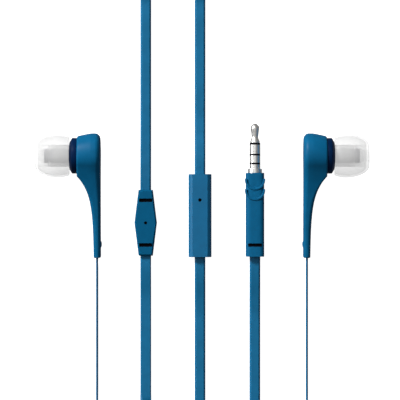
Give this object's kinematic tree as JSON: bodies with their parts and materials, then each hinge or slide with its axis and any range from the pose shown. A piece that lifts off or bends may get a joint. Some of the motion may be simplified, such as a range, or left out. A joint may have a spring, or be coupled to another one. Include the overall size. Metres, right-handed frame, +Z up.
{
  "type": "wired in-ear earphones",
  "caption": "Wired in-ear earphones with flat ribbon cords, Y-splitter, in-line microphone remote and 3.5 mm plug, laid out flat with the spare cord coiled and tied.",
  "frame": {"origin": "on the surface the set lies on, under the middle of the box around the two earbuds, the splitter and the remote", "axes": "+X from the left earbud to the right earbud, +Y along the plug towards its tip, +Z up"},
  "size_m": [0.112, 0.226, 0.0141],
  "materials": {
    "clear_silicone": "translucent satin",
    "dark_plastic": "satin",
    "nozzle_screen": "satin",
    "blue_plastic": "satin",
    "driver_plastic": "satin",
    "plated_steel": "satin",
    "magnet": "satin",
    "copper_winding": "gloss",
    "diaphragm_film": "satin",
    "circuit_board": "gloss",
    "blue_ribbon": "satin",
    "black_rubber": "matte",
    "polished_contact": "polished",
    "white_plastic": "satin",
    "tie_band": "matte"
  },
  "bodies": {
    "headset": {"left_nozzle": "dark_plastic", "left_nozzle_mesh": "nozzle_screen", "left_housing": "blue_plastic", "left_back_cover": "blue_plastic", "left_driver_ring": "driver_plastic", "left_yoke": "plated_steel", "left_magnet": "magnet", "left_pole_plate": "plated_steel", "left_terminal_board": "circuit_board", "left_inner_lead": "copper_winding", "left_cord_clamp": "black_rubber", "right_nozzle": "dark_plastic", "right_nozzle_mesh": "nozzle_screen", "right_housing": "blue_plastic", "right_back_cover": "blue_plastic", "right_driver_ring": "driver_plastic", "right_yoke": "plated_steel", "right_magnet": "magnet", "right_pole_plate": "plated_steel", "right_terminal_board": "circuit_board", "right_inner_lead": "copper_winding", "right_cord_clamp": "black_rubber", "splitter_top_shell": "blue_plastic", "splitter_bottom_shell": "blue_plastic", "splitter_joint_block": "black_rubber", "remote_top_shell": "blue_plastic", "remote_bottom_shell": "blue_plastic", "remote_switch_body": "plated_steel", "remote_circuit_board": "circuit_board", "remote_microphone": "plated_steel", "remote_mic_gasket": "black_rubber", "remote_cord_clamps": "black_rubber", "plug_tip": "polished_contact", "plug_ring_1": "polished_contact", "plug_ring_2": "polished_contact", "plug_sleeve": "polished_contact", "plug_insulator": "dark_plastic", "plug_inner_moulding": "white_plastic", "plug_body": "blue_plastic", "plug_cord": "blue_ribbon", "trunk_coil": "blue_ribbon", "remote_cord": "blue_ribbon", "link_cord": "blue_ribbon", "left_branch_cord": "blue_ribbon", "left_coil": "blue_ribbon", "left_bud_cord": "blue_ribbon", "right_branch_cord": "blue_ribbon", "right_coil": "blue_ribbon", "right_bud_cord": "blue_ribbon", "cord_ties": "tie_band"},
    "left_ear_tip": {"left_ear_tip": "clear_silicone"},
    "right_ear_tip": {"right_ear_tip": "clear_silicone"},
    "call_button": {"remote_call_button": "dark_plastic", "remote_switch_plunger": "black_rubber"},
    "left_moving_coil": {"left_diaphragm": "diaphragm_film", "left_voice_coil": "copper_winding"},
    "right_moving_coil": {"right_diaphragm": "diaphragm_film", "right_voice_coil": "copper_winding"}
  },
  "joints": [
    {"name": "left_ear_tip_pull", "type": "slide", "parent": "headset", "child": "left_ear_tip", "axis": [-1, 0, 0], "range_m": [0, 0.008]},
    {"name": "right_ear_tip_pull", "type": "slide", "parent": "headset", "child": "right_ear_tip", "axis": [1, 0, 0], "range_m": [0, 0.008]},
    {"name": "call_button_press", "type": "slide", "parent": "headset", "child": "call_button", "axis": [0, 0, 1], "range_m": [0, 0.0003], "stiffness_N_per_m": 800},
    {"name": "left_diaphragm_stroke", "type": "slide", "parent": "headset", "child": "left_moving_coil", "axis": [1, 0, 0], "range_m": [-0.00015, 0.00015], "stiffness_N_per_m": 300},
    {"name": "right_diaphragm_stroke", "type": "slide", "parent": "headset", "child": "right_moving_coil", "axis": [-1, 0, 0], "range_m": [-0.00015, 0.00015], "stiffness_N_per_m": 300}
  ]
}
